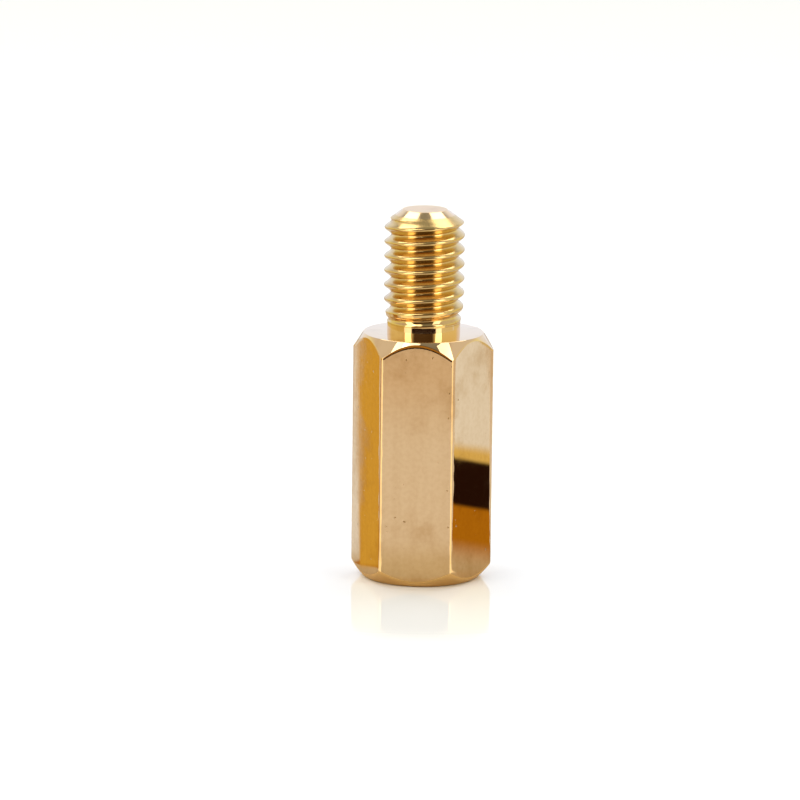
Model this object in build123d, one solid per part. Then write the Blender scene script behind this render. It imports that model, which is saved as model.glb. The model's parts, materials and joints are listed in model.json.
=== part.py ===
from build123d import *
from build123d.topology import SkipClean

import os
from math import ceil, cos, radians, tan

# Hex standoff: a hexagonal pillar with a threaded stud on top and a tapped hole in its base.
# Lengths are in millimetres, angles in degrees, and a share is a fraction of the size that it names.
# The origin is the centre of the base, +Z runs up the axis, and a flat of the hexagon faces -Y.

# Hexagonal body, cut from drawn bar
across_flats = 5.94
corner_radius = 0.2
body_length = 12.0
hexagon_corners = 6

# Bevels turned on both ends: how far each face stands inside the flats, and how steep the bevel is
shoulder_inset = 0.07
shoulder_bevel_angle = 58.0
base_inset = 0.19
base_bevel_angle = 47.0

# Stud: a plain neck under the thread, and a bevelled end
stud_length = 6.0
neck_length = 0.5
neck_relief = 0.175
end_bevel_width = 0.89
end_bevel_height = 0.64

# Rolled thread of the stud, with the heights over which its crests and its roots fade into the neck
thread_crest_d = 3.88
thread_pitch = 0.7
thread_depth_pitch_share = 0.53
crest_land_pitch_share = 0.215
thread_flank_angle = 60.0
thread_start = 0.2
crest_fade = 0.97
root_fade = 0.5
patches_in_turn = 12

# Clear ring round the crests, which a panel's hole leaves free when the panel lies on the shoulder
panel_clearance = 0.21

# Tapped hole in the base, drilled to leave a solid web under the shoulder
tap_drill_d = 3.3
drill_point_angle = 118.0
hole_web = 3.0
mouth_bevel_width = 0.55
mouth_angle = 90.0

# How far a cutting or joining shape runs past the surface that it meets
overrun = 0.05

# Sizes worked out from those above
flats_r = across_flats / 2
bar_r = flats_r / cos(radians(180 / hexagon_corners))
shoulder_r = flats_r - shoulder_inset
base_r = flats_r - base_inset
crest_r = thread_crest_d / 2
root_r = crest_r - thread_pitch * thread_depth_pitch_share
neck_r = crest_r - neck_relief
end_r = crest_r - end_bevel_width
stud_top = body_length + stud_length
thread_foot = body_length + neck_length
patch_angle = 360 / patches_in_turn


def turned_section(*points: tuple) -> Face:
    """Half section of a turned shape, from (radius, height) points in order round its outline."""
    return make_face(Polyline(*[(radius, 0, height) for radius, height in points], close=True))


def turned(*points: tuple) -> Part:
    """Solid turned about the axis from the points of its half section."""
    return revolve(turned_section(*points), Axis.Z)


def hexagonal_bar() -> Part:
    """Bar with rounded corners, kept inside the bevelled outline that is turned on both ends."""
    section = RegularPolygon(flats_r, hexagon_corners, major_radius=False)
    section = fillet(section.vertices(), corner_radius)
    bar = extrude(section, body_length)
    base_rise = (bar_r - base_r) * tan(radians(base_bevel_angle))
    shoulder_drop = (bar_r - shoulder_r) * tan(radians(shoulder_bevel_angle))
    outline = turned(
        (0, 0),
        (base_r, 0),
        (bar_r, base_rise),
        (bar_r, body_length - shoulder_drop),
        (shoulder_r, body_length),
        (0, body_length),
    )
    return bar & outline


def tapped_hole() -> Part:
    """Space of the drilled hole, with its pointed end and the countersunk mouth in the base."""
    drill_r = tap_drill_d / 2
    mouth_slope = tan(radians(mouth_angle / 2))
    mouth_height = mouth_bevel_width / mouth_slope
    hole_end = body_length - hole_web
    point_height = drill_r / tan(radians(drill_point_angle / 2))
    return turned(
        (0, -overrun),
        (drill_r + mouth_bevel_width + overrun * mouth_slope, -overrun),
        (drill_r, mouth_height),
        (drill_r, hole_end - point_height),
        (0, hole_end),
    )


def neck() -> Part:
    """Plain neck, with a cone inside the thread above it that lifts the groove's floor out to the neck.

    Its foot is a plug, flush with the shoulder and as wide as a panel's hole, so that the ring
    outside the plug, where the panel lies, is a face of its own.
    """
    panel_hole_r = crest_r + panel_clearance
    fade_slope = root_fade / (neck_r - root_r)
    cone_top = thread_foot + root_fade + overrun * fade_slope
    return turned(
        (0, body_length - overrun),
        (panel_hole_r, body_length - overrun),
        (panel_hole_r, body_length),
        (neck_r, body_length),
        (neck_r, thread_foot),
        (root_r - overrun, cone_top),
        (0, cone_top),
    )


def groove_patch() -> Part:
    """Part of the thread's groove that lies in one patch of a turn, starting over +X at height 0."""
    flank_slope = tan(radians(thread_flank_angle / 2))
    crest_half = thread_pitch * (1 - crest_land_pitch_share) / 2
    root_half = crest_half - (crest_r - root_r) * flank_slope
    outer_half = crest_half + overrun * flank_slope
    section = turned_section(
        (root_r, -root_half),
        (crest_r + overrun, -outer_half),
        (crest_r + overrun, outer_half),
        (root_r, root_half),
    )
    path = Helix(thread_pitch, thread_pitch / patches_in_turn, root_r)
    return sweep(section, path, is_frenet=True)


def threaded_patches() -> list:
    """Stud above its neck, as wedges of one patch each, every wedge cut by the turns that cross it.

    In a patch of a turn the helix rises less than the crest is wide, so that each piece of crest
    is a patch of plain cylinder that reaches all the way across its wedge.
    """
    section = turned_section(
        (0, thread_foot),
        (neck_r, thread_foot),
        (crest_r, thread_foot + crest_fade),
        (crest_r, stud_top - end_bevel_height),
        (end_r, stud_top),
        (0, stud_top),
    )
    wedge = revolve(section, Axis.Z, patch_angle)
    groove = groove_patch()
    turns = ceil(stud_length / thread_pitch) + 1
    wedges = []
    for patch in range(patches_in_turn):
        first = body_length + thread_start + thread_pitch * patch / patches_in_turn
        grooves = [Pos(0, 0, first + thread_pitch * turn) * groove for turn in range(turns)]
        wedges.append(Rot(0, 0, patch_angle * patch) * (wedge - grooves))
    return wedges


def hex_standoff() -> Part:
    """The whole standoff as one solid, with its faces left in the patches that they were made in."""
    body = hexagonal_bar() - tapped_hole()
    with SkipClean():
        return body + [neck(), *threaded_patches()]


os.makedirs("parts", exist_ok=True)
export_step(hex_standoff(), "parts/hex_standoff.step")
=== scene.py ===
"""Hex standoff, dressed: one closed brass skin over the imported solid, on a pale floor in soft light.

Lengths are in millimetres, angles in degrees, and a share is a fraction of the size that it names.
The skin keeps the solid's frame: +Z up the axis, the base at 0 and a flat of the hexagon facing -Y.
"""

import json
import logging
import math
from collections.abc import Callable, Sequence
from dataclasses import dataclass, field
from enum import Enum

import bpy
import numpy as np
from mathutils import Matrix, Vector, noise


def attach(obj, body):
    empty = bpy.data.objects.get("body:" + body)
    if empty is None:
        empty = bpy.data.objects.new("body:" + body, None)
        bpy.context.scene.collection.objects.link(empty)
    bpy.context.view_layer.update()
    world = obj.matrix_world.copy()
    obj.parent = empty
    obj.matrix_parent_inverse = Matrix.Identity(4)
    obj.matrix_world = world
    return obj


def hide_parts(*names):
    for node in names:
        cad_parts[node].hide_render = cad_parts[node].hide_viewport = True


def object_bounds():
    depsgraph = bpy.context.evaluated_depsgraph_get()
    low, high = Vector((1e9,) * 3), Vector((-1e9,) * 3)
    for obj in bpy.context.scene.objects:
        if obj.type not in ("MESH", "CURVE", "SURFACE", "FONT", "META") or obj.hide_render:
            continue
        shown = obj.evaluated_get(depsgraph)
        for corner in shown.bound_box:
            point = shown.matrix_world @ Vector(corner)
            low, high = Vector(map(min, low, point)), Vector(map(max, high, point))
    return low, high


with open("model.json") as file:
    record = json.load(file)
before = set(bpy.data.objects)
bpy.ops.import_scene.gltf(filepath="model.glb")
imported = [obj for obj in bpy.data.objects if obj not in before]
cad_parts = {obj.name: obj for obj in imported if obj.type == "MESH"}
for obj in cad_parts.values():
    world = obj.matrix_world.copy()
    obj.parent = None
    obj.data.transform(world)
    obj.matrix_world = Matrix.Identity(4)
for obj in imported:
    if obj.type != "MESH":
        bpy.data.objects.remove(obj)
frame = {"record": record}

CAD_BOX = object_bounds()
MM = 0.001
NODE = "hex_standoff"
BODY = "root"
UP = (0.0, 0.0, 1.0)

log = logging.getLogger("hex_standoff")


def mount(name: str) -> dict:
    """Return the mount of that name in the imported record."""
    return next(row for row in frame["record"]["mounts"] if row["name"] == name)


def smooth_min(a: np.ndarray | float, b: np.ndarray | float, reach: float) -> np.ndarray:
    """Return the lesser of two sizes, with a rounded change from one to the other.

    Args:
        a: First size.
        b: Second size.
        reach: Difference between the two at which the rounding starts.

    Returns:
        The rounded lesser size, which is never above either of them.
    """
    near = np.maximum(reach - np.abs(a - b), 0.0) / reach
    return np.minimum(a, b) - near * near * reach / 4


def smooth_max(a: np.ndarray | float, b: np.ndarray | float, reach: float) -> np.ndarray:
    """Return the greater of two sizes, rounded as in smooth_min."""
    return -smooth_min(-a, -b, reach)


class Socket:
    """Output of a shader node, on which Python's operators add Math nodes."""

    def __init__(self, graph: "Graph", link: bpy.types.NodeSocket) -> None:
        """Keep the graph and the output that this stands for."""
        self.graph = graph
        self.link = link

    def math(self, operation: str, *values: "float | Socket") -> "Socket":
        """Return the result of a Math node on these values."""
        return self.graph.node("ShaderNodeMath", {"operation": operation}, dict(enumerate(values)))

    def __add__(self, other: "float | Socket") -> "Socket":
        """Return the sum."""
        return self.math("ADD", self, other)

    def __radd__(self, other: float) -> "Socket":
        """Return the sum with a number on the left."""
        return self.math("ADD", other, self)

    def __sub__(self, other: "float | Socket") -> "Socket":
        """Return the difference."""
        return self.math("SUBTRACT", self, other)

    def __rsub__(self, other: float) -> "Socket":
        """Return the difference from a number on the left."""
        return self.math("SUBTRACT", other, self)

    def __mul__(self, other: "float | Socket") -> "Socket":
        """Return the product."""
        return self.math("MULTIPLY", self, other)

    def __rmul__(self, other: float) -> "Socket":
        """Return the product with a number on the left."""
        return self.math("MULTIPLY", other, self)

    def __abs__(self) -> "Socket":
        """Return the size without its sign."""
        return self.math("ABSOLUTE", self)

    def ease(self, low: float, high: float) -> "Socket":
        """Return a share that eases from 0 at low to 1 at high."""
        inputs = {"Value": self, "From Min": low, "From Max": high}
        return self.graph.node("ShaderNodeMapRange", {"interpolation_type": "SMOOTHSTEP"}, inputs)

    def rise(self, middle: float, blend: float) -> "Socket":
        """Return a share that eases from 0 to 1 about a value."""
        return self.ease(middle - blend / 2, middle + blend / 2)

    def within(self, low: float, high: float, blend: float) -> "Socket":
        """Return a share that is 1 between two values and eases to 0 outside them."""
        return self.rise(low, blend) * (1.0 - self.rise(high, blend))


class Graph:
    """Node tree of one material or world, with one method that adds every kind of node."""

    # Places of a colour Mix node's two inputs and of its output
    COLOUR_SOCKETS = (6, 7, 2)

    def __init__(self, tree: bpy.types.NodeTree) -> None:
        """Keep the tree, emptied."""
        self.tree = tree
        tree.nodes.clear()

    @classmethod
    def of_material(cls, name: str) -> "tuple[Graph, bpy.types.Material]":
        """Make a material.

        Args:
            name: Name of the material.

        Returns:
            Its graph, and the material itself.
        """
        made = bpy.data.materials.new(name)
        made.use_nodes = True
        return cls(made.node_tree), made

    def node(self, kind: str, settings: dict | None = None, inputs: dict | None = None,
             output: str | int = 0) -> Socket:
        """Add a node.

        Args:
            kind: Blender's name for the type of node.
            settings: Properties, which are set before the sockets.
            inputs: Values or links of the input sockets, by name or place.
            output: Name or place of the output that is wanted.

        Returns:
            That output, or a socket of None for a node that has no output.
        """
        made = self.tree.nodes.new(kind)
        for name, value in (settings or {}).items():
            setattr(made, name, value)
        for name, value in (inputs or {}).items():
            if isinstance(value, Socket):
                self.tree.links.new(value.link, made.inputs[name])
            else:
                made.inputs[name].default_value = value
        return Socket(self, made.outputs[output] if made.outputs else None)

    def mix(self, share: Socket, a: "tuple | Socket", b: "tuple | Socket") -> Socket:
        """Return a colour between a and b."""
        first, second, result = self.COLOUR_SOCKETS
        return self.node("ShaderNodeMix", {"data_type": "RGBA"}, {0: share, first: a, second: b}, result)

    def stretched(self, vector: Socket, scales: Sequence[float]) -> Socket:
        """Return a vector with each of its parts scaled."""
        return self.node("ShaderNodeVectorMath", {"operation": "MULTIPLY"}, {0: vector, 1: scales})

    def along(self, vector: Socket, axis: Sequence[float]) -> Socket:
        """Return how far a vector goes along an axis."""
        return self.node("ShaderNodeVectorMath", {"operation": "DOT_PRODUCT"}, {0: vector, 1: axis}, "Value")

    def length(self, vector: Socket) -> Socket:
        """Return the length of a vector."""
        return self.node("ShaderNodeVectorMath", {"operation": "LENGTH"}, {0: vector}, "Value")

    def noise(self, vector: Socket, scales: Sequence[float], detail: float = 2.0) -> Socket:
        """Return a noise between 0 and 1 that varies once in a unit of the scaled vector."""
        inputs = {"Vector": self.stretched(vector, scales), "Scale": 1.0, "Detail": detail}
        return self.node("ShaderNodeTexNoise", inputs=inputs)

    def place(self) -> Socket:
        """Return the point on the surface, in millimetres in the object's own frame."""
        return self.stretched(self.node("ShaderNodeTexCoord", output="Object"), (1 / MM,) * 3)

    def share_of(self, surface: "Surface") -> Socket:
        """Return how far a point belongs to a kind of surface."""
        return self.node("ShaderNodeAttribute", {"attribute_name": surface.value}, output="Fac")

    def coat(self, inputs: dict) -> None:
        """Finish a material with one Principled shader."""
        shader = self.node("ShaderNodeBsdfPrincipled", inputs=inputs)
        self.node("ShaderNodeOutputMaterial", inputs={"Surface": shader})


class Surface(Enum):
    """How a stretch of the skin was made, with the name of the mesh attribute that marks it."""

    DRAWN = "drawn"
    TURNED = "turned"
    THREADED = "threaded"
    WORN = "worn"


@dataclass(frozen=True)
class PolishedBrass:
    """Bright brass with drawing marks on the flats, turning marks elsewhere, stains and small pits."""

    name: str = "polished_brass"
    colour: tuple = (0.80, 0.545, 0.29, 1.0)
    stain_colour: tuple = (0.60, 0.36, 0.15, 1.0)
    worn_colour: tuple = (0.88, 0.58, 0.25, 1.0)
    thread_colour: tuple = (0.70, 0.475, 0.185, 1.0)
    pit_colour: tuple = (0.40, 0.24, 0.10, 1.0)
    stain_strength: float = 0.65
    stains_in_mm: float = 0.55
    stain_detail: float = 5.0
    stain_range: tuple = (0.48, 0.75)
    streak_strength: float = 0.14
    streaks_in_mm: float = 2.2
    streak_stretch: float = 0.08
    streak_detail: float = 3.0
    streak_range: tuple = (0.4, 0.7)
    grain_strength: float = 0.18
    thread_grain_strength: float = 0.30
    grains_in_mm: float = 5.0
    grain_detail: float = 3.0
    grain_range: tuple = (0.35, 0.7)
    roughness: float = 0.02
    mark_roughness: float = 0.02
    stain_roughness: float = 0.05
    turned_roughness: float = 0.01
    worn_roughness: float = 0.25
    pit_roughness: float = 0.25
    thread_roughness: float = 0.14
    thread_foot: float = 12.75
    thread_blend: float = 0.2
    end_roughness: float = 0.10
    end_height: float = 17.4
    end_blend: float = 0.1
    end_face_roughness: float = 0.20
    end_face_height: float = 17.98
    end_face_blend: float = 0.02
    marks_in_mm: float = 16.0
    mark_stretch: float = 0.25
    mark_height: float = 0.0002
    turning_marks_in_mm: float = 22.0
    turning_mark_height: float = 0.00004
    waves_in_mm: float = 0.5
    wave_detail: float = 1.0
    wave_height: float = 0.0015
    pits_in_mm: float = 2.4
    pitted_share: float = 0.40
    pit_reach: float = 0.13
    pit_edge: tuple = (-0.004, 0.02)
    pit_depth: float = 0.010
    pit_raggedness: float = 0.45
    pit_ragged_scale: float = 9.0

    def material(self) -> bpy.types.Material:
        """Make the material.

        Returns:
            The brass, whose patterns are laid out in the part's own frame.
        """
        graph, made = Graph.of_material(self.name)
        place = graph.place()
        level = graph.along(place, UP)
        drawn = graph.share_of(Surface.DRAWN)
        worn = graph.share_of(Surface.WORN)
        threaded = graph.share_of(Surface.THREADED)
        marks = self.marks(graph, place, drawn)
        stains = graph.noise(place, (self.stains_in_mm,) * 3, self.stain_detail).ease(*self.stain_range)
        lengthwise = (self.streaks_in_mm, self.streaks_in_mm, self.streak_stretch)
        streaks = graph.noise(place, lengthwise, self.streak_detail).ease(*self.streak_range)
        grain = graph.noise(place, (self.grains_in_mm,) * 3, self.grain_detail).ease(*self.grain_range)
        waves = graph.noise(place, (self.waves_in_mm,) * 3, self.wave_detail)
        pits = self.pits(graph, place) * drawn
        dull = stains * self.stain_strength
        dull = dull + (streaks * self.streak_strength + grain * self.grain_strength) * drawn
        dull = dull + grain * threaded * self.thread_grain_strength
        colour = graph.mix(threaded, self.colour, self.thread_colour)
        colour = graph.mix(dull, colour, self.stain_colour)
        colour = graph.mix(worn, colour, self.worn_colour)
        colour = graph.mix(pits, colour, self.pit_colour)
        wound = threaded * level.rise(self.thread_foot, self.thread_blend)
        end = level.rise(self.end_height, self.end_blend)
        end_face = level.rise(self.end_face_height, self.end_face_blend)
        roughness = self.roughness + (marks * self.mark_roughness + stains * self.stain_roughness) * drawn
        roughness = roughness + (1.0 - drawn) * self.turned_roughness + worn * self.worn_roughness
        roughness = roughness + pits * self.pit_roughness + end * self.end_roughness
        roughness = roughness + end_face * self.end_face_roughness + wound * self.thread_roughness
        mark_height = self.turning_mark_height + drawn * (self.mark_height - self.turning_mark_height)
        height = marks * mark_height + waves * self.wave_height * drawn - pits * self.pit_depth
        normal = graph.node("ShaderNodeBump", inputs={"Distance": MM, "Height": height}, output="Normal")
        graph.coat({"Metallic": 1.0, "Base Color": colour, "Roughness": roughness, "Normal": normal})
        return made

    def marks(self, graph: Graph, place: Socket, drawn: Socket) -> Socket:
        """Lay out the fine tool marks.

        Args:
            graph: Tree that takes the nodes.
            place: Point on the skin, in millimetres.
            drawn: Share of the surface that was left as it was drawn.

        Returns:
            Lines along the axis on the flats, and rings about it elsewhere, between 0 and 1.
        """
        across = self.marks_in_mm
        lines = graph.noise(place, (across, across, self.mark_stretch))
        radius = graph.length(graph.stretched(place, (1.0, 1.0, 0.0)))
        section = graph.node("ShaderNodeCombineXYZ", inputs={"X": radius, "Z": graph.along(place, UP)})
        rings = graph.noise(section, (self.turning_marks_in_mm,) * 3)
        return lines * drawn + rings * (1.0 - drawn)

    def pits(self, graph: Graph, place: Socket) -> Socket:
        """Scatter small pits.

        Args:
            graph: Tree that takes the nodes.
            place: Point on the skin, in millimetres.

        Returns:
            A mask that is 1 inside a pit, with pits in only a share of the cells.
        """
        cells = graph.stretched(place, (self.pits_in_mm,) * 3)
        inputs = {"Vector": cells, "Scale": self.pit_ragged_scale}
        drift = graph.node("ShaderNodeTexNoise", inputs=inputs, output="Color")
        inputs = {0: drift, 1: (self.pit_raggedness,) * 3, 2: cells}
        ragged = graph.node("ShaderNodeVectorMath", {"operation": "MULTIPLY_ADD"}, inputs)
        inputs = {"Vector": ragged, "Scale": 1.0}
        distance = graph.node("ShaderNodeTexVoronoi", inputs=inputs, output="Distance")
        draw = graph.node("ShaderNodeTexVoronoi", inputs=inputs, output="Color")
        chance = graph.along(draw, (1.0, 0.0, 0.0))
        size = chance.ease(1.0 - self.pitted_share, 1.0) * self.pit_reach
        return (size - distance).ease(*self.pit_edge)


@dataclass(frozen=True)
class GlossySheet:
    """Pale glossy sheet of the floor."""

    name: str = "pale_sheet"
    colour: tuple = (0.98, 0.955, 0.92, 1.0)
    roughness: float = 0.04
    far_roughness: float = 0.9
    glossy_reach: float = 14.0
    glossy_blend: float = 10.0
    ior: float = 1.24

    def material(self) -> bpy.types.Material:
        """Make the material.

        Returns:
            A white sheet with a faint mirror image in it.
        """
        graph, made = Graph.of_material(self.name)
        dull = graph.length(graph.place()).rise(self.glossy_reach, self.glossy_blend)
        roughness = self.roughness + dull * (self.far_roughness - self.roughness)
        graph.coat({"Base Color": self.colour, "Roughness": roughness, "IOR": self.ior})
        return made


def towards(azimuth: float, elevation: float = 0.0) -> Vector:
    """Return the direction at an azimuth from -Y towards +X and an elevation."""
    around, level = math.radians(azimuth), math.cos(math.radians(elevation))
    return Vector((math.sin(around) * level, -math.cos(around) * level, math.sin(math.radians(elevation))))


class PaintedReflectionTone(Enum):
    """Glowing tones of the painted reflections on the sheet that only the metal mirrors."""

    # WHITE and CREAM paint highlights and BLACK paints a dark reflection; all of them glow though no lamp is
    # there.
    WHITE = (1.9, 1.8, 1.5, 1.0)
    CREAM = (1.5, 1.42, 1.15, 1.0)
    SOFT_CREAM = (0.80, 0.75, 0.58, 1.0)
    PALE = (0.93, 1.05, 1.26, 1.0)
    WHEAT = (0.83, 0.77, 0.48, 1.0)
    STRAW = (0.83, 0.68, 0.25, 1.0)
    GOLD = (0.75, 0.49, 0.08, 1.0)
    AMBER = (0.49, 0.22, 0.01, 1.0)
    BROWN = (0.46, 0.24, 0.04, 1.0)
    BLACK = (0.02, 0.007, 0.004, 1.0)


@dataclass(frozen=True)
class PaintedReflectionRing:
    """Painted tone of the sheet from some distance outwards, lit as the floor is, which the metal shows as a
    painted reflection.
    """

    colour: tuple
    near: float
    blend: float


@dataclass(frozen=True)
class PaintedReflectionSector:
    """Glowing part of the sheet between two azimuths, from some distance outwards: a painted reflection."""

    tone: PaintedReflectionTone
    start: float
    end: float
    near: float
    near_blend: float = 0.5
    turn_blend: float = 4.0

    def mask(self, graph: Graph, place: Socket) -> Socket:
        """Lay out the sector.

        Args:
            graph: Tree that takes the nodes.
            place: Point on the sheet, in millimetres.

        Returns:
            The share of the sector's tone there.
        """
        ahead = graph.along(place, (0.0, -1.0, 0.0))
        aside = graph.along(place, (1.0, 0.0, 0.0))
        turn = aside.math("ARCTAN2", aside, ahead) * math.degrees(1.0)
        outwards = graph.length(place).rise(self.near, self.near_blend)
        return turn.within(self.start, self.end, self.turn_blend) * outwards


@dataclass(frozen=True)
class PaintedReflectionStrip:
    """Glowing straight part of the sheet, which one flat of the body mirrors: a painted reflection."""

    tone: PaintedReflectionTone
    azimuth: float
    left: float
    right: float
    near: float
    near_blend: float
    slant: float = 0.0
    side_blend: float = 0.12

    def mask(self, graph: Graph, place: Socket) -> Socket:
        """Lay out the strip.

        Args:
            graph: Tree that takes the nodes.
            place: Point on the sheet, in millimetres.

        Returns:
            The share of the strip's tone there.
        """
        away = towards(self.azimuth)
        aside = graph.along(place, (-away.y, away.x, 0.0))
        reach = graph.along(place, away) + (aside - (self.left + self.right) / 2) * self.slant
        return aside.within(self.left, self.right, self.side_blend) * reach.rise(self.near, self.near_blend)


@dataclass(frozen=True)
class PaintedReflectionSheet:
    """Pale sheet of painted reflections: rings of painted tone and glowing zones, later ones over earlier
    ones.
    """

    zones: tuple[PaintedReflectionSector | PaintedReflectionStrip, ...]
    name: str = "mirrored_sheet"
    # Nearest the base the sheet is darker and warmer than further out: painted shade that the metal
    # reflects.
    colour: tuple = (0.625, 0.545, 0.415, 1.0)
    # Rings of painted tone outwards from the base, which the metal reflects.
    rings: tuple[PaintedReflectionRing, ...] = (
        PaintedReflectionRing((0.61, 0.565, 0.475, 1.0), 5.0, 1.5),
        PaintedReflectionRing((0.72, 0.705, 0.735, 1.0), 11.0, 8.0),
        PaintedReflectionRing((0.65, 0.57, 0.505, 1.0), 46.0, 24.0),
    )
    black: tuple = (0.0, 0.0, 0.0, 1.0)

    def material(self) -> bpy.types.Material:
        """Make the material.

        Returns:
            A dull white, darker near the base as painted shade, that gives way to an even glow of painted
            reflection in each zone.
        """
        graph, made = Graph.of_material(self.name)
        place = graph.place()
        distance = graph.length(place)
        base, glow = self.colour, self.black
        for ring in self.rings:
            base = graph.mix(distance.rise(ring.near, ring.blend), base, ring.colour)
        for zone in self.zones:
            share = zone.mask(graph, place)
            base = graph.mix(share, base, self.black)
            glow = graph.mix(share, glow, zone.tone.value)
        inputs = {"Base Color": base, "Roughness": 1.0, "Specular IOR Level": 0.0}
        graph.coat(inputs | {"Emission Color": glow, "Emission Strength": 1.0})
        made.cycles.emission_sampling = "NONE"
        return made


@dataclass
class Skin:
    """Closed surface that grows ring by ring about the axis.

    Every ring has one point in each column, and the columns stand at the angles given here.
    """

    angles: np.ndarray
    points: list[tuple] = field(default_factory=list)
    faces: list[list[int]] = field(default_factory=list)
    surfaces: list[Surface] = field(default_factory=list)

    def point(self, radius: float, angle: float, height: float, surface: Surface) -> int:
        """Add one point.

        Args:
            radius: Distance from the axis.
            angle: Angle about the axis from +X, in radians.
            height: Height above the base.
            surface: How the skin was made there.

        Returns:
            The point's place in the list.
        """
        self.points.append((radius * math.cos(angle) * MM, radius * math.sin(angle) * MM, height * MM))
        self.surfaces.append(surface)
        return len(self.points) - 1

    def ring(self, radius: np.ndarray | float, height: np.ndarray | float, surface: Surface) -> list[int]:
        """Add a ring.

        Args:
            radius: Distance from the axis, for the whole ring or for each column.
            height: Height above the base, for the whole ring or for each column.
            surface: How that stretch was made.

        Returns:
            The places of the ring's points.
        """
        radii = np.broadcast_to(radius, self.angles.shape)
        heights = np.broadcast_to(height, self.angles.shape)
        return [self.point(r, a, h, surface) for r, a, h in zip(radii, self.angles, heights)]

    def rings(self, spots: Sequence[tuple], surface: Surface) -> list[list[int]]:
        """Add a ring for each pair of a radius and a height and return the rings."""
        return [self.ring(radius, height, surface) for radius, height in spots]

    def bridge(self, above: list[int], below: list[int]) -> list[int]:
        """Join two rings with faces.

        Args:
            above: First ring.
            below: Second ring, which comes after it along the skin.

        Returns:
            The second ring.
        """
        for column in range(len(above)):
            after = (column + 1) % len(above)
            self.faces.append([above[column], below[column], below[after], above[after]])
        return below

    def run(self, start: list[int], rings: Sequence[list[int]]) -> list[int]:
        """Join rings one after another.

        Args:
            start: Ring that is in the skin already.
            rings: Rings that follow it.

        Returns:
            The last ring.
        """
        for ring in rings:
            start = self.bridge(start, ring)
        return start

    def close(self, ring: list[int], height: float, surface: Surface, opens: bool = False) -> None:
        """Close the surface on the axis.

        Args:
            ring: Ring next to the axis.
            height: Height of the point on the axis.
            surface: How that stretch was made.
            opens: True where the surface starts here, and false where it ends.
        """
        pole = self.point(0.0, 0.0, height, surface)
        for column, place in enumerate(ring):
            after = ring[(column + 1) % len(ring)]
            self.faces.append([pole, place, after] if opens else [place, pole, after])

    def wind(self, first: list[int], last: list[int], span: tuple[float, float], pitch: float, rows: int,
             radius: Callable[[float, float], float], surface: Surface) -> list[int]:
        """Fill the space between two level rings with rows that follow a right-hand helix.

        Args:
            first: Ring where the stretch starts.
            last: Ring where it ends.
            span: Heights of those rings.
            pitch: Rise of the helix in one turn.
            rows: Number of rows in one pitch.
            radius: Distance from the axis, from a height and a share of a turn.
            surface: How that stretch was made.

        Returns:
            The last ring.
        """
        start, end = span
        way = 1 if end > start else -1
        spacing = pitch / rows
        margin = spacing / 4
        base = start if way < 0 else start - pitch
        count = math.ceil(abs(end - start) / spacing) + rows
        columns = len(self.angles)
        placed: dict[tuple[int, int], int] = {}

        def place(row: int, column: int) -> int:
            """Find a point, which is added when it is first asked for.

            Args:
                row: Row along the helix.
                column: Column, where one past the last is the first column a turn further on.

            Returns:
                The point's place in the list.
            """
            if column == columns:
                return place(row + way * rows, 0)
            angle = self.angles[column]
            turn = angle / math.tau
            height = base + way * spacing * row + pitch * turn
            if way * (height - start) < margin:
                return first[column]
            if way * (end - height) < margin:
                return last[column]
            if (row, column) not in placed:
                placed[row, column] = self.point(radius(height, turn), angle, height, surface)
            return placed[row, column]

        for row in range(count):
            for column in range(columns):
                loop = ((row, column), (row + 1, column), (row + 1, column + 1), (row, column + 1))
                distinct = list(dict.fromkeys(place(*corner) for corner in loop))
                if len(distinct) > 2:
                    self.faces.append(distinct)
        return last

    def mesh(self, name: str, sharp_angle: float) -> bpy.types.Mesh:
        """Make the mesh.

        Args:
            name: Name of the mesh.
            sharp_angle: Angle between faces from which an edge is shown sharp.

        Returns:
            The mesh, shaded smooth, with one attribute for each kind of surface.
        """
        made = bpy.data.meshes.new(name)
        made.from_pydata(self.points, [], self.faces)
        for kind in Surface:
            marks = made.attributes.new(kind.value, "FLOAT", "POINT")
            marks.data.foreach_set("value", [float(surface is kind) for surface in self.surfaces])
        made.shade_smooth()
        made.set_sharp_from_angle(angle=math.radians(sharp_angle))
        made.validate()
        return made


@dataclass(frozen=True)
class Corner:
    """Corner of a section through the axis, with the radius that rounds it."""

    radius: np.ndarray | float
    height: np.ndarray | float
    rounding: float = 0.0
    steps: int = 5


def rounded(before: Corner, corner: Corner, after: Corner, count: int) -> list[tuple]:
    """Round one corner of a section in every column.

    Args:
        before: Corner before it.
        corner: Corner that is rounded.
        after: Corner after it.
        count: Number of columns.

    Returns:
        Radii and heights of the points along the arc.
    """
    def spot(one: Corner) -> np.ndarray:
        """Return a corner's radius and height in every column."""
        return np.stack([np.broadcast_to(one.radius, count), np.broadcast_to(one.height, count)])

    here = spot(corner)
    if not corner.rounding:
        return [(here[0], here[1])]
    back, ahead = spot(before) - here, spot(after) - here
    back, ahead = back / np.linalg.norm(back, axis=0), ahead / np.linalg.norm(ahead, axis=0)
    half = np.arccos(np.clip((back * ahead).sum(0), -1, 1)) / 2
    middle = back + ahead
    centre = here + middle / np.linalg.norm(middle, axis=0) * corner.rounding / np.sin(half)
    start = here + back * corner.rounding / np.tan(half) - centre
    end = here + ahead * corner.rounding / np.tan(half) - centre
    sweep = math.pi - 2 * half
    arc = []
    for step in range(corner.steps + 1):
        share = step / corner.steps
        spoke = (np.sin((1 - share) * sweep) * start + np.sin(share * sweep) * end) / np.sin(sweep)
        arc.append(tuple(centre + spoke))
    return arc


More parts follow.
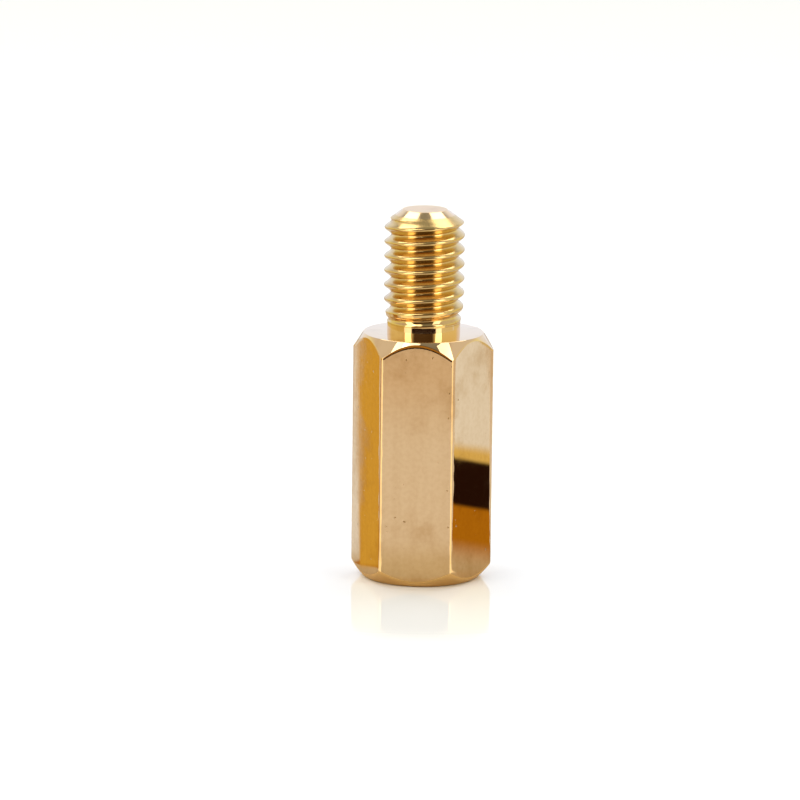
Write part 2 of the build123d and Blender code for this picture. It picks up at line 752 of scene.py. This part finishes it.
@dataclass
class HexagonalBody:
    """Body cut from drawn hexagonal bar, with a bevel turned on both ends."""

    flats_r: float = (CAD_BOX[1].y - CAD_BOX[0].y) / 2 / MM
    corners_r: float = (CAD_BOX[1].x - CAD_BOX[0].x) / 2 / MM
    length: float = mount("shoulder")["pos_m"][2] / MM
    sides: int = 6
    columns_on_flat: int = 24
    columns_on_corner: int = 8
    shoulder_inset: float = 0.07
    shoulder_bevel_angle: float = 58.0
    shoulder_rounding: float = 0.05
    shoulder_flat_rounding: float = 0.04
    base_inset: float = 0.19
    base_bevel_angle: float = 47.0
    base_rounding: float = 0.28
    base_flat_rounding: float = 0.30
    rows_on_flat: int = 70
    nick_depth: float = 0.016
    nicks_in_mm: float = 1.3
    nick_fractal: tuple = (1.0, 2.0, 3)

    def __post_init__(self) -> None:
        """Work out the columns: their angles, radii and places on the rounded corners."""
        half_side = math.radians(180 / self.sides)
        bar_r = self.flats_r / math.cos(half_side)
        self.corner_rounding = (bar_r - self.corners_r) / (1 / math.cos(half_side) - 1)
        centre_r = (self.flats_r - self.corner_rounding) / math.cos(half_side)
        angles, radii, bends = [], [], []
        for side in range(self.sides):
            middle = math.tau * side / self.sides
            arc = []
            for step in range(self.columns_on_corner + 1):
                bend = half_side * (2 * step / self.columns_on_corner - 1)
                spoke = centre_r + self.corner_rounding * complex(math.cos(bend), math.sin(bend))
                arc.append(spoke)
                angles.append(middle + math.atan2(spoke.imag, spoke.real))
                radii.append(abs(spoke))
                bends.append(math.cos(bend / half_side * math.pi / 2))
            edge = math.atan2(arc[-1].imag, arc[-1].real)
            width = 2 * half_side - 2 * edge
            for step in range(1, self.columns_on_flat):
                turn = edge + width * step / self.columns_on_flat
                angles.append(middle + turn)
                radii.append(self.flats_r / math.cos(turn - half_side))
                bends.append(0.0)
        self.angles = np.array(angles)
        self.radii = np.array(radii)
        self.bends = np.array(bends)

    def cover(self, skin: Skin, neck_foot: list[int], neck_r: float, mouth: Corner) -> list[int]:
        """Lay the skin over the shoulder, the sides and the base.

        Args:
            skin: Skin that grows.
            neck_foot: Ring at the foot of the stud's neck.
            neck_r: Radius of that ring.
            mouth: Corner where the base meets the mouth of the hole.

        Returns:
            The last ring, at the edge of the base.
        """
        shoulder_r = self.flats_r - self.shoulder_inset
        base_r = self.flats_r - self.base_inset
        drop = (self.radii - shoulder_r) * math.tan(math.radians(self.shoulder_bevel_angle))
        rise = (self.radii - base_r) * math.tan(math.radians(self.base_bevel_angle))
        corners = [
            Corner(neck_r, self.length),
            Corner(shoulder_r, self.length, self.shoulder_rounding),
            Corner(self.radii, self.length - drop, self.shoulder_flat_rounding),
            Corner(self.radii, rise, self.base_flat_rounding),
            Corner(base_r, 0.0, self.base_rounding),
            mouth,
        ]
        count = len(self.angles)
        arcs = [rounded(*corners[place - 1:place + 2], count) for place in range(1, len(corners) - 1)]
        ring = skin.run(neck_foot, skin.rings(arcs[0] + arcs[1][:-1], Surface.TURNED))
        ring = skin.run(ring, self.sides_rings(skin, arcs[1][-1], arcs[2][0]))
        return skin.run(ring, skin.rings(arcs[2][1:] + arcs[3], Surface.WORN))

    def sides_rings(self, skin: Skin, top: tuple, bottom: tuple) -> list[list[int]]:
        """Add the rings of the drawn sides, whose corners carry small nicks.

        Args:
            skin: Skin that takes the rings.
            top: Radii and heights of the upper edge.
            bottom: Radii and heights of the lower edge.

        Returns:
            The rings from the upper edge to the lower one.
        """
        rings = []
        for row in range(self.rows_on_flat + 1):
            share = row / self.rows_on_flat
            heights = top[1] + (bottom[1] - top[1]) * share
            spots = zip(self.angles, heights, self.bends)
            nicks = np.array([bend * self.nick(angle, height) for angle, height, bend in spots])
            inside = 0 < row < self.rows_on_flat
            radii = self.radii - nicks * inside
            rings.append(skin.ring(radii, heights, Surface.DRAWN))
        return rings

    def nick(self, angle: float, height: float) -> float:
        """Work out how deep a corner is nicked.

        Args:
            angle: Angle about the axis from +X, in radians.
            height: Height above the base.

        Returns:
            The depth there.
        """
        side = round(angle / math.tau * self.sides)
        spot = Vector((side * self.length, 0.0, height * self.nicks_in_mm))
        return self.nick_depth * max(0.0, noise.fractal(spot, *self.nick_fractal))


@dataclass
class Thread:
    """Form of a 60 degree thread with rounded crests and roots."""

    pitch: float = 0.7
    flank_angle: float = 60.0

    def radius(self, inner: float, outer: float, land: float, roundings: tuple[float, float],
               offset: float) -> float:
        """Return the radius of the thread.

        Args:
            inner: Radius of the root of the form.
            outer: Radius of its crest.
            land: Width of the crest.
            roundings: Reach of the rounding at the root and at the crest.
            offset: Height above the middle of a crest.

        Returns:
            The distance from the axis.
        """
        from_crest = abs(offset - self.pitch * round(offset / self.pitch))
        flank = outer - (from_crest - land / 2) / math.tan(math.radians(self.flank_angle / 2))
        return smooth_max(inner, smooth_min(outer, flank, roundings[1]), roundings[0])


@dataclass
class ThreadedStud:
    """Stud with a bevelled end, a rolled thread that fades into the neck, and the plain neck."""

    thread: Thread
    foot: float
    crest_r: float = mount("stud")["dims"]["r_mm"]
    top: float = CAD_BOX[1].z / MM
    neck_relief: float = 0.175
    neck_length: float = 0.5
    depth: float = 0.371
    crest_land: float = 0.15
    first_crest: float = 0.55
    crest_rounding: float = 0.16
    root_rounding: float = 0.30
    crest_fade: float = 0.97
    root_fade: float = 0.5
    fade_rounding: float = 0.08
    fade_start: float = 0.15
    wound_foot: float = 0.45
    plain_foot: float = 0.42
    end_bevel_width: float = 0.89
    end_bevel_height: float = 0.64
    end_rounding: float = 0.07
    bevel_rounding: float = 0.05
    wound_bevel_share: float = 0.6
    end_ring_share: float = 0.5
    rows_in_pitch: int = 22

    def __post_init__(self) -> None:
        """Work out the radii and heights that follow from the sizes."""
        self.neck_r = self.crest_r - self.neck_relief
        self.root_r = self.crest_r - self.depth
        self.end_r = self.crest_r - self.end_bevel_width
        self.neck_top = self.foot + self.neck_length
        self.bevel_foot = self.top - self.end_bevel_height

    def bevel_r(self, height: float) -> float:
        """Return the radius of the bevelled end at a height."""
        return self.crest_r - self.end_bevel_width * (height - self.bevel_foot) / self.end_bevel_height

    def radius(self, height: float, turn: float) -> float:
        """Return the radius of the thread at a height and a share of a turn.

        Args:
            height: Height above the base.
            turn: Share of a turn from +X.

        Returns:
            The radius, kept inside the end's bevel and the fading crest, and outside the fading root.
        """
        offset = height - self.foot - self.first_crest - self.thread.pitch * turn
        roundings = (self.root_rounding, self.crest_rounding)
        found = self.thread.radius(self.root_r, self.crest_r, self.crest_land, roundings, offset)
        above = height - self.neck_top
        if above <= 0:
            return self.neck_r
        fading_crest = self.neck_r + (self.crest_r - self.neck_r) * above / self.crest_fade
        fading_root = self.neck_r - (self.neck_r - self.root_r) * above / self.root_fade
        found = smooth_min(found, fading_crest, self.fade_rounding)
        found = smooth_max(found, fading_root, self.fade_rounding)
        share = min(1.0, above / self.fade_start)
        found = self.neck_r + (found - self.neck_r) * share * share * (3 - 2 * share)
        return smooth_min(found, self.bevel_r(height), self.bevel_rounding)

    def cover(self, skin: Skin) -> list[int]:
        """Lay the skin over the stud from its end to the foot of its neck.

        Args:
            skin: Skin that grows.

        Returns:
            The ring at the foot of the neck.
        """
        wound_top = self.bevel_foot + self.end_bevel_height * self.wound_bevel_share
        count = len(skin.angles)
        face = Corner(self.end_r * self.end_ring_share, self.top)
        edge = Corner(self.end_r, self.top, self.end_rounding)
        bevel = Corner(self.bevel_r(wound_top), wound_top)
        ring = skin.ring(face.radius, face.height, Surface.TURNED)
        skin.close(ring, self.top, Surface.TURNED, opens=True)
        ring = skin.run(ring, skin.rings(rounded(face, edge, bevel, count), Surface.TURNED))
        ring = skin.bridge(ring, skin.ring(bevel.radius, bevel.height, Surface.TURNED))
        wound_foot = self.foot + self.wound_foot
        neck = skin.ring(self.neck_r, wound_foot, Surface.TURNED)
        span = (wound_top, wound_foot)
        rows = self.rows_in_pitch
        ring = skin.wind(ring, neck, span, self.thread.pitch, rows, self.radius, Surface.THREADED)
        spots = [(self.neck_r, self.foot + self.plain_foot), (self.neck_r, self.foot)]
        return skin.run(ring, skin.rings(spots, Surface.TURNED))


@dataclass
class TappedHole:
    """Blind hole with a countersunk mouth, an internal thread and a drilled point."""

    thread: Thread
    end: float
    wall_r: float = mount("tapped_hole")["dims"]["r_mm"]
    mouth_width: float = 0.55
    mouth_rounding: float = 0.04
    depth: float = 0.34
    groove_land: float = 0.12
    groove_rounding: float = 0.05
    crest_rounding: float = 0.05
    mouth_blend: float = 0.03
    wound_from: float = 0.12
    thread_end: float = 7.3
    fade: float = 1.2
    point_angle: float = 118.0
    rows_in_pitch: int = 14

    def __post_init__(self) -> None:
        """Work out the mouth and the foot of the drilled point."""
        self.mouth_r = self.wall_r + self.mouth_width
        self.point_foot = self.end - self.wall_r / math.tan(math.radians(self.point_angle / 2))

    def radius(self, height: float, turn: float) -> float:
        """Return the radius of the threaded wall at a height and a share of a turn.

        Args:
            height: Height above the base.
            turn: Share of a turn from +X.

        Returns:
            The radius of the groove, the crest or the mouth's bevel, whichever is the widest.
        """
        left = min(1.0, max(0.0, (self.thread_end - height) / self.fade))
        offset = height - self.thread.pitch * turn
        roundings = (self.crest_rounding, self.groove_rounding)
        outer = self.wall_r + self.depth
        found = self.thread.radius(self.wall_r, outer, self.groove_land, roundings, offset)
        found = self.wall_r + (found - self.wall_r) * left
        return smooth_max(found, self.mouth_r - height, self.mouth_blend)

    def cover(self, skin: Skin, base_edge: list[int], before: Corner) -> None:
        """Lay the skin into the hole, from the base to the drilled point.

        Args:
            skin: Skin that grows.
            base_edge: Ring at the outer edge of the base.
            before: Corner of that edge.
        """
        rim = Corner(self.mouth_r, 0.0, self.mouth_rounding)
        bevel = Corner(self.mouth_r - self.wound_from, self.wound_from)
        arc = rounded(before, rim, bevel, len(skin.angles))
        ring = skin.run(base_edge, skin.rings(arc, Surface.TURNED))
        ring = skin.bridge(ring, skin.ring(bevel.radius, bevel.height, Surface.TURNED))
        wall = skin.ring(self.wall_r, self.thread_end, Surface.TURNED)
        span = (self.wound_from, self.thread_end)
        rows = self.rows_in_pitch
        ring = skin.wind(ring, wall, span, self.thread.pitch, rows, self.radius, Surface.THREADED)
        ring = skin.bridge(ring, skin.ring(self.wall_r, self.point_foot, Surface.TURNED))
        skin.close(ring, self.end, Surface.TURNED)


@dataclass
class HexStandoff:
    """The whole standoff: body, stud and hole under one closed skin."""

    finish: PolishedBrass
    name: str = "standoff_brass"
    hole_web: float = 3.0
    sharp_angle: float = 35.0

    def build(self) -> bpy.types.Object:
        """Make the piece.

        Returns:
            The piece, in place, with normals that keep the flats flat.
        """
        thread = Thread()
        body = HexagonalBody()
        stud = ThreadedStud(thread, body.length)
        hole = TappedHole(thread, body.length - self.hole_web)
        skin = Skin(body.angles)
        ring = stud.cover(skin)
        ring = body.cover(skin, ring, stud.neck_r, Corner(hole.mouth_r, 0.0))
        hole.cover(skin, ring, Corner(body.flats_r - body.base_inset, 0.0))
        piece = bpy.data.objects.new(self.name, skin.mesh(self.name, self.sharp_angle))
        bpy.context.collection.objects.link(piece)
        normals = piece.modifiers.new("flat_faces", "WEIGHTED_NORMAL")
        normals.keep_sharp = True
        return piece

    def dress(self, piece: bpy.types.Object) -> None:
        """Give the piece its finish and its body, and hide the node that it stands for.

        Args:
            piece: The standoff.
        """
        piece.data.materials.append(self.finish.material())
        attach(piece, BODY)
        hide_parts(NODE)


@dataclass(frozen=True)
class PhotoCamera:
    """Camera at the photo's angle and framing."""

    name: str = "photo_camera"
    distance: float = 300.0
    azimuth: float = 5.747
    elevation: float = 11.397
    roll: float = 0.665
    focal_pixels: float = 6209.7
    frame_pixels: float = 800.0
    sensor: float = 36.0
    middle: float = 9.0
    aim_right: float = -1.098
    aim_up: float = -0.372

    def axes(self) -> tuple[Vector, Vector, Vector]:
        """Return the directions to the camera's right, up and back, without its roll."""
        back, right = towards(self.azimuth, self.elevation), towards(self.azimuth + 90.0)
        return right, back.cross(right), back

    def place(self) -> bpy.types.Object:
        """Make the camera and set it as the scene's.

        Returns:
            The camera.
        """
        right, up, back = self.axes()
        aim = Vector((0.0, 0.0, self.middle)) + right * self.aim_right + up * self.aim_up
        turn = Matrix.Rotation(math.radians(self.roll), 3, back)
        right, up = turn @ right, turn @ up
        lens = bpy.data.cameras.new(self.name)
        lens.sensor_width = self.sensor
        lens.lens = self.sensor * self.focal_pixels / self.frame_pixels
        made = bpy.data.objects.new(self.name, lens)
        made.matrix_world = Matrix((right, up, back)).transposed().to_4x4()
        made.location = (aim + back * self.distance) * MM
        bpy.context.collection.objects.link(made)
        bpy.context.scene.camera = made
        return made


@dataclass(frozen=True)
class Softbox:
    """Large soft light that faces the middle of the standoff."""

    name: str
    azimuth: float
    elevation: float
    width: float
    height: float
    level: float
    distance: float = 400.0
    aim: float = 9.0

    def build(self) -> bpy.types.Object:
        """Make the light.

        Returns:
            The light, which reflections show and the camera doesn't.
        """
        lamp = bpy.data.lights.new(self.name, "AREA")
        lamp.shape = "RECTANGLE"
        lamp.size = self.width * MM
        lamp.size_y = self.height * MM
        lamp.energy = self.level * math.pi * lamp.size * lamp.size_y
        made = bpy.data.objects.new(self.name, lamp)
        away = towards(self.azimuth, self.elevation)
        spot = away * self.distance + Vector((0.0, 0.0, self.aim))
        turn = away.to_track_quat("Z", "Y").to_matrix().to_4x4()
        made.matrix_world = Matrix.Translation(spot * MM) @ turn
        made.visible_camera = False
        bpy.context.collection.objects.link(made)
        return made


@dataclass
class Studio:
    """Pale floor, soft surroundings, softboxes and a sheet of painted reflections that only the metal
    mirrors.
    """

    camera: PhotoCamera
    floor_finish: GlossySheet = GlossySheet()
    floor_size: float = 3000.0
    floor_gap: float = 0.004
    sheet_gap: float = 0.008
    front_colour: tuple = (0.10, 0.07, 0.035, 1.0)
    overhead_colour: tuple = (0.32, 0.34, 0.33, 1.0)
    side_colour: tuple = (0.8, 0.8, 0.8, 1.0)
    low_colour: tuple = (1.0, 1.06, 0.66, 1.0)
    back_colour: tuple = (1.0, 1.14, 1.40, 1.0)
    overhead_start: tuple = (0.5, 0.9)
    low_end: tuple = (0.3, 0.5)
    side_start: tuple = (0.45, 0.65)
    back_start: tuple = (0.48, 0.80)
    front_turn: float = -1.0
    front_box_turn: float = 49.4
    front_box_elevation: float = 26.0
    front_box_size: tuple = (155.0, 440.0)
    front_box_level: float = 2.3
    back_box_turn: float = 130.0
    back_box_elevation: float = 60.0
    back_box_size: tuple = (200.0, 200.0)
    back_box_level: float = 2.9
    top_box_turn: float = -28.0
    top_box_elevation: float = 50.0
    top_box_size: tuple = (170.0, 120.0)
    # Layout of the painted reflections on the sheet: bands about the axis for the corners, the neck and the
    # stud, and strips for the left and right flats.
    left_band: tuple = (-56.5, -33.0)
    right_band: tuple = (44.7, 63.2)
    left_corner_band: tuple = (-70.0, -27.0)
    right_corner_band: tuple = (38.0, 76.0)
    left_edge_band: tuple = (-102.0, -80.0)
    bands_end: float = 150.0
    corner_near: float = 5.0
    neck_near: float = 64.9
    stud_near: float = 73.9
    stud_blend: float = 3.0
    left_azimuth: float = -126.4
    left_pale: tuple = (1.0, 2.5)
    left_pale_start: tuple = (7.0, 6.0)
    left_gold: tuple = (2.5, 5.0)
    left_gold_start: tuple = (4.0, 2.0)
    right_azimuth: float = 114.25
    right_strip: tuple = (-4.1, -0.8)
    right_slant: float = 0.67
    right_amber_start: tuple = (8.0, 7.0)
    right_black_start: tuple = (18.85, 1.4)
    right_straw_start: tuple = (30.45, 1.4)
    right_pale_start: tuple = (33.85, 3.5)

    def build(self) -> None:
        """Make the floor, the sheet of painted reflections, the surroundings and the lights."""
        floor = self.sheet("floor", self.floor_finish.material(), self.floor_gap)
        mirrored = self.sheet("mirrored", PaintedReflectionSheet(self.zones()).material(), self.sheet_gap)
        # The camera sees only the plain floor, and glossy rays see only the sheet of painted reflections.
        for made in (floor, mirrored):
            made.visible_camera = made is floor
            made.visible_glossy = made is mirrored
            made.visible_diffuse = False
            made.visible_shadow = False
        self.surroundings()
        for box in self.softboxes():
            box.build()

    def softboxes(self) -> list[Softbox]:
        """Choose the lights.

        Returns:
            Two tall boxes ahead of the standoff, one above them and two overhead behind it.
        """
        front = self.camera.azimuth + self.front_turn
        level = self.front_box_level
        above = (front + self.top_box_turn, self.top_box_elevation)
        boxes = [Softbox("top_box", *above, *self.top_box_size, level)]
        for name, side in (("left", -1), ("right", 1)):
            ahead = (front + side * self.front_box_turn, self.front_box_elevation)
            boxes.append(Softbox(f"front_box_{name}", *ahead, *self.front_box_size, level))
            behind = (self.camera.azimuth + side * self.back_box_turn, self.back_box_elevation)
            boxes.append(Softbox(f"back_box_{name}", *behind, *self.back_box_size, self.back_box_level))
        return boxes

    def zones(self) -> tuple[PaintedReflectionSector | PaintedReflectionStrip, ...]:
        """Choose the zones of the sheet, each a painted reflection.

        Returns:
            Sectors that paint the reflections in the corners, the neck and the stud, then strips that paint
            those in the left and right flats.
        """
        left_out, left_in = self.left_band
        right_in, right_out = self.right_band
        neck, stud = self.neck_near, (self.stud_near, self.stud_blend)
        pale, gold = (self.left_azimuth, *self.left_pale), (self.left_azimuth, *self.left_gold)
        right, slant = (self.right_azimuth, *self.right_strip), self.right_slant
        return (
            # Each zone glows with the tone that the metal is to reflect there: painted reflections and
            # painted highlights.
            PaintedReflectionSector(PaintedReflectionTone.AMBER, *self.left_edge_band, self.corner_near),
            PaintedReflectionSector(PaintedReflectionTone.CREAM, *self.left_corner_band, self.corner_near),
            PaintedReflectionSector(PaintedReflectionTone.CREAM, *self.right_corner_band, self.corner_near),
            PaintedReflectionSector(PaintedReflectionTone.STRAW, -self.bands_end, left_out, neck),
            PaintedReflectionSector(PaintedReflectionTone.WHEAT, right_out, self.bands_end, neck),
            PaintedReflectionSector(PaintedReflectionTone.BLACK, left_in, right_in, neck),
            PaintedReflectionSector(PaintedReflectionTone.WHITE, left_out, left_in, neck),
            PaintedReflectionSector(PaintedReflectionTone.WHITE, right_in, right_out, neck),
            PaintedReflectionSector(PaintedReflectionTone.BROWN, left_in, right_in, *stud),
            PaintedReflectionSector(PaintedReflectionTone.SOFT_CREAM, left_out, left_in, *stud),
            PaintedReflectionSector(PaintedReflectionTone.SOFT_CREAM, right_in, right_out, *stud),
            PaintedReflectionStrip(PaintedReflectionTone.PALE, *pale, *self.left_pale_start),
            PaintedReflectionStrip(PaintedReflectionTone.GOLD, *gold, *self.left_gold_start),
            PaintedReflectionStrip(PaintedReflectionTone.AMBER, *right, *self.right_amber_start, slant),
            PaintedReflectionStrip(PaintedReflectionTone.BLACK, *right, *self.right_black_start, slant),
            PaintedReflectionStrip(PaintedReflectionTone.STRAW, *right, *self.right_straw_start, slant),
            PaintedReflectionStrip(PaintedReflectionTone.PALE, *right, *self.right_pale_start, slant),
        )

    def sheet(self, name: str, finish: bpy.types.Material, gap: float) -> bpy.types.Object:
        """Make a level sheet.

        Args:
            name: Name of the sheet.
            finish: Its material.
            gap: How far it lies below the base.

        Returns:
            The sheet.
        """
        half = self.floor_size / 2 * MM
        corners = [(-half, -half, 0), (half, -half, 0), (half, half, 0), (-half, half, 0)]
        mesh = bpy.data.meshes.new(name)
        mesh.from_pydata(corners, [], [range(len(corners))])
        mesh.materials.append(finish)
        made = bpy.data.objects.new(name, mesh)
        made.location.z = -gap * MM
        bpy.context.collection.objects.link(made)
        return made

    def surroundings(self) -> None:
        """Light the room: bright behind, softer at the sides, with a dark strip ahead and overhead."""
        world = bpy.data.worlds.new("studio")
        world.use_nodes = True
        bpy.context.scene.world = world
        graph = Graph(world.node_tree)
        direction = graph.node("ShaderNodeTexCoord", output="Generated")
        aside = abs(graph.along(direction, towards(self.camera.azimuth + self.front_turn + 90.0)))
        behind = graph.along(direction, towards(self.camera.azimuth + 180.0)).ease(*self.back_start)
        up = graph.along(direction, UP)
        strip = graph.mix(up.ease(*self.overhead_start), self.front_colour, self.overhead_colour)
        side = graph.mix(up.ease(*self.low_end), self.low_colour, self.side_colour)
        plain = graph.mix(aside.ease(*self.side_start), strip, side)
        colour = graph.mix(behind, plain, self.back_colour)
        shader = graph.node("ShaderNodeBackground", inputs={"Color": colour, "Strength": 1.0})
        graph.node("ShaderNodeOutputWorld", inputs={"Surface": shader})


def main() -> None:
    """Build the standoff, the camera and the studio, and report each piece."""
    logging.basicConfig(level=logging.INFO, format="%(name)s: %(message)s")
    bpy.context.scene.view_settings.view_transform = "Standard"
    standoff = HexStandoff(PolishedBrass())
    piece = standoff.build()
    standoff.dress(piece)
    log.info("%s: %d points, %d faces", piece.name, len(piece.data.vertices), len(piece.data.polygons))
    camera = PhotoCamera()
    camera.place()
    Studio(camera).build()
    log.info("camera and studio in place")


if __name__ == "__main__":
    main()
